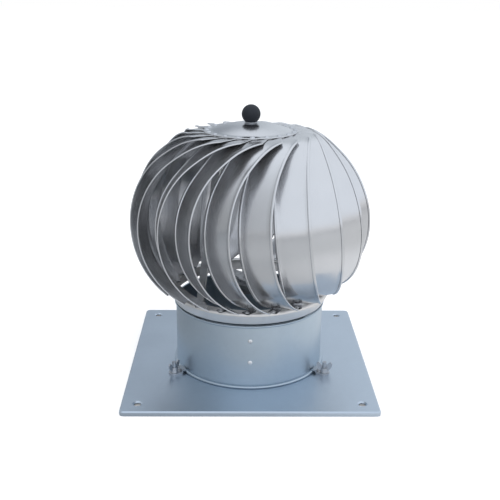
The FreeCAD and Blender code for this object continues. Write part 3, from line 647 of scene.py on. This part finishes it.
sleeve = {
    "radius": 75.0, "sheet": 0.8, "low": 4.5, "high": 70.0, "lowBead": 2.5, "highBead": 1.6,
    "groove": 0.35, "segments": 300,
    # beside each bead: (share of the groove's depth, distance from the bead)
    "creases": [(1, 0.3), (1, 0.7), (0, 1.1), (0, 1.3), (0, 1.6), (0, 3.0)],
}


def sleeveShell():
    # straight wall with a half-round bead at each end and a small crease beside each bead
    r, low, high = sleeve["radius"], sleeve["low"], sleeve["high"]
    a, b = sleeve["lowBead"] / 2, sleeve["highBead"] / 2
    steps = [(r - sleeve["groove"] * share, away) for share, away in sleeve["creases"]]
    profile = [(r - sleeve["sheet"], low), (r, low)]
    profile += arcPoints((r + a, low + a), a, -90, 90, 12)
    profile += [(q, low + 2 * a + away) for q, away in steps]
    profile += [(r, low + 20), (r, high - 20)]
    profile += [(q, high - 2 * b - away) for q, away in reversed(steps)]
    profile += arcPoints((r + b, high - b), b, -90, 90, 9)
    profile += [(r, high), (r - sleeve["sheet"], high)]
    return revolved(profile, sleeve["segments"])


knob = {"radius": 9.1, "height": 258.1, "seat": 250.8, "segments": 96}


def knobShell():
    # radius times (cosine, sine) from the flat cut on the washer up to the pole
    drop = math.degrees(math.asin((knob["seat"] - knob["height"]) / knob["radius"]))
    line = arcPoints((0, knob["height"]), knob["radius"], drop, 90, 60)
    line = [(max(r, poleReach), z) for r, z in line]
    return revolved(line + [(poleReach, knob["seat"])], knob["segments"])


washer = {"radius": 6.2, "bore": 4.02, "low": 249.5, "high": 250.8,
          "rounds": [0.2, 0.7, 0.7, 0.2], "segments": 96}


def washerShell():
    # a flat rectangle with rounded corners, more rounded on the outer side
    r, b = washer["radius"], washer["bore"]
    corners = [(b, washer["low"]), (r, washer["low"]), (r, washer["high"]), (b, washer["high"])]
    return revolved(roundedLoop(corners, washer["rounds"]), washer["segments"])


makePiece("ringSheet", [ringShell()], ringMetal, "rotor", ["lower_ring"])
makePiece("discSheet", [discShell()], discMetal, "rotor", ["top_disc"])
makePiece("sleeveSheet", [sleeveShell()], sleeveMetal, "base", ["sleeve"])
makePiece("knobBall", [knobShell()], knobBlack, "rotor", ["ball_knob"],
          poles=True)
makePiece("knobWasherRound", [washerShell()], hardwareMetal, "rotor",
          ["knob_washer"])
print("round pieces made")


# finishes of the CAD nodes that stay: clips and wing nuts are hardware, the rest ground steel
nodeMetals = {
    "base_plate": plateMetal, "spigot": sleeveMetal, "clip_studs": hardwareMetal,
    "upper_strap": strapMetal, "lower_strap": strapMetal, "lower_bar": strapMetal,
    "upper_bearing_housing": housingMetal, "lower_bearing_housing": housingMetal,
    "disc_nut": hardwareMetal, "upper_housing_rivets": rivetMetal,
    "lower_housing_rivets": rivetMetal,
}
for name, node in cadNodes.items():
    plain = hardwareMetal if name.startswith(("clip", "wing")) else bearingMetal
    node.data.materials.clear()
    node.data.materials.append(nodeMetals.get(name, plain))
print("CAD nodes finished")


# what polished metal mirrors: a pale room, with less light on its left and behind
room = {
    "right": (0.97, 1.03, 1.12), "left": (0.41, 0.43, 0.45), "horizon": (0.90, 0.89, 0.90),
    "backLeft": (0.35, 0.39, 0.44), "backRight": (0.76, 0.82, 0.89),
    "backFarLeft": (0.66, 0.70, 0.75),
    "plain": (0.80, 0.82, 0.85),        # even light for everything that isn't mirrored
    # where one shade goes over into the next, as parts of a direction
    "horizonRise": (-0.02, 0.16), "sideWays": (-1.0, -0.33), "behindWays": (-0.16, 0.18),
    "farLeftWays": (-0.60, -0.25), "behindDeep": (0.3, 0.8), "behindTop": (0.45, 0.80),
}
ground = {
    "half": 12.0, "height": -0.0003,    # metres
    "left": (0.15, 0.17, 0.19), "right": (0.97, 0.97, 0.97),            # near the part
    "farLeft": (0.41, 0.43, 0.45), "front": (0.60, 0.61, 0.62), "far": (0.64, 0.64, 0.64),
    "across": (-0.33, 0.17), "away": (0.16, 0.40), "awayShare": 0.9,    # metres
    "leftTurn": (-1.5, -0.9), "backTurn": (0.3, 1.0),                   # radians
    "seen": (0.97, 0.97, 0.97, 1), "glow": 0.25,
}


def makeFloor():
    # the metal mirrors a floor shaded from left to right near the part, and by direction
    # farther out; the camera sees it plain and pale
    half, height = ground["half"], ground["height"]
    mesh = bpy.data.meshes.new("floor")
    mesh.from_pydata([(-half, -half, height), (half, -half, height), (half, half, height),
                      (-half, half, height)], [], [(0, 1, 2, 3)])
    floor = bpy.data.objects.new("floor", mesh)
    bpy.context.scene.collection.objects.link(floor)
    material, tree = newFinish("floorPale")
    x, y = tree.xyz(tree.node("ShaderNodeTexCoord", out="Object"))[:2]
    near = tree.mix(x.ramp(*ground["across"], "LINEAR"), ground["left"], ground["right"])
    turn = tree.node("ShaderNodeMath", {"operation": "ARCTAN2"}, [x, 0 - y])
    far = tree.mix(turn.ramp(*ground["leftTurn"]), ground["farLeft"], ground["front"])
    far = tree.mix(turn.ramp(*ground["backTurn"]), far, ground["far"])
    away = ((x * x + y * y) ** 0.5).ramp(*ground["away"])
    tone = tree.mix(away * ground["awayShare"], near, far)
    mirrored = tree.node("ShaderNodeBsdfDiffuse", None, {"Color": tone})
    seen = tree.node("ShaderNodeBsdfDiffuse", None, {"Color": ground["seen"]})
    glow = tree.node("ShaderNodeEmission", None,
                     {"Color": (1, 1, 1, 1), "Strength": ground["glow"]})
    both = tree.node("ShaderNodeAddShader", None, [seen, glow])
    eye = tree.node("ShaderNodeLightPath", out="Is Camera Ray")
    tree.node("ShaderNodeOutputMaterial", None,
              {"Surface": tree.node("ShaderNodeMixShader", None, [eye, mirrored, both])})
    mesh.materials.append(material)


def makeWorld():
    # by direction: from left to right in front, above a paler horizon, and shades of its own
    # low down behind; the camera sees white, and soft light comes evenly from all sides
    world = bpy.data.worlds.new("studio")
    world.use_nodes = True
    bpy.context.scene.world = world
    tree = NodeTree(world.node_tree)
    x, y, z = tree.xyz(tree.node("ShaderNodeTexCoord", out="Generated"))
    wall = tree.mix(z.ramp(*room["horizonRise"]), room["horizon"], room["right"])
    front = tree.mix(x.ramp(*room["sideWays"], "LINEAR"), room["left"], wall)
    back = tree.mix(x.ramp(*room["behindWays"], "LINEAR"), room["backLeft"], room["backRight"])
    back = tree.mix(x.ramp(*room["farLeftWays"]), room["backFarLeft"], back)
    behind = y.ramp(*room["behindDeep"]) * (1 - z.ramp(*room["behindTop"]))
    mirrored = tree.mix(behind, front, back)
    eye = tree.node("ShaderNodeLightPath", out="Is Camera Ray")
    glossy = tree.node("ShaderNodeLightPath", out="Is Glossy Ray")
    colour = tree.mix(eye, tree.mix(glossy, room["plain"], mirrored), (1, 1, 1))
    light = tree.node("ShaderNodeBackground", None, {"Color": colour, "Strength": 1.0})
    tree.node("ShaderNodeOutputWorld", None, {"Surface": light})


lamps = {
    # metres and watts; both point at a spot a little above the plate
    "keyLamp": {"spot": (1.0, -1.3, 1.9), "size": (1.4, 1.0), "power": 14},
    "topLamp": {"spot": (-0.3, 0.6, 2.2), "size": (1.6, 1.6), "power": 8},
}
lampAim = (0, 0, 0.1)


def makeLamp(name, spot, size, power):
    # a flat lamp whose Z looks away from its aim
    data = bpy.data.lights.new(name, "AREA")
    data.shape = "RECTANGLE"
    data.size, data.size_y = size
    data.energy = power
    lamp = bpy.data.objects.new(name, data)
    bpy.context.scene.collection.objects.link(lamp)
    back = np.array(spot, float) - np.array(lampAim, float)
    back /= np.linalg.norm(back)
    side = np.cross([0, 0, 1], back)
    side /= np.linalg.norm(side)
    turn = np.eye(4)
    turn[:3, 0], turn[:3, 1], turn[:3, 2], turn[:3, 3] = side, np.cross(back, side), back, spot
    lamp.matrix_world = Matrix(turn.tolist())
    lamp.visible_glossy = False


camera = {
    "focal": 799.04, "centre": 249.76, "picture": 500,       # pixels
    "distance": 0.76697, "height": 0.37737,                  # metres
    "pitch": 18.51, "azimuth": -0.985, "roll": 0.577,        # degrees
    "sensor": 36.0,                                          # mm
}


def makeCamera():
    # on a circle about the axis, looking at it and down by the pitch, rolled about its view
    pitch, azimuth, roll = (math.radians(camera[k]) for k in ("pitch", "azimuth", "roll"))
    data = bpy.data.cameras.new("camera")
    data.sensor_fit = "HORIZONTAL"
    data.sensor_width = camera["sensor"]
    data.lens = camera["focal"] / camera["picture"] * camera["sensor"]
    data.shift_x = (camera["picture"] / 2 - camera["centre"]) / camera["picture"]
    data.clip_start = 0.01
    right = np.array([math.cos(azimuth), math.sin(azimuth), 0])
    ahead = np.array([-math.sin(azimuth) * math.cos(pitch),
                      math.cos(azimuth) * math.cos(pitch), -math.sin(pitch)])
    up = np.cross(right, ahead)
    turn = np.eye(4)
    turn[:3, 0] = right * math.cos(roll) + up * math.sin(roll)
    turn[:3, 1] = -right * math.sin(roll) + up * math.cos(roll)
    turn[:3, 2] = -ahead
    turn[:3, 3] = (camera["distance"] * math.sin(azimuth),
                   -camera["distance"] * math.cos(azimuth), camera["height"])
    eye = bpy.data.objects.new("camera", data)
    bpy.context.scene.collection.objects.link(eye)
    eye.matrix_world = Matrix(turn.tolist())
    bpy.context.scene.camera = eye


makeFloor()
makeWorld()
for name, lamp in lamps.items():
    makeLamp(name, **lamp)
makeCamera()
bpy.context.scene.view_settings.view_transform = "Standard"
print("stage and camera made")
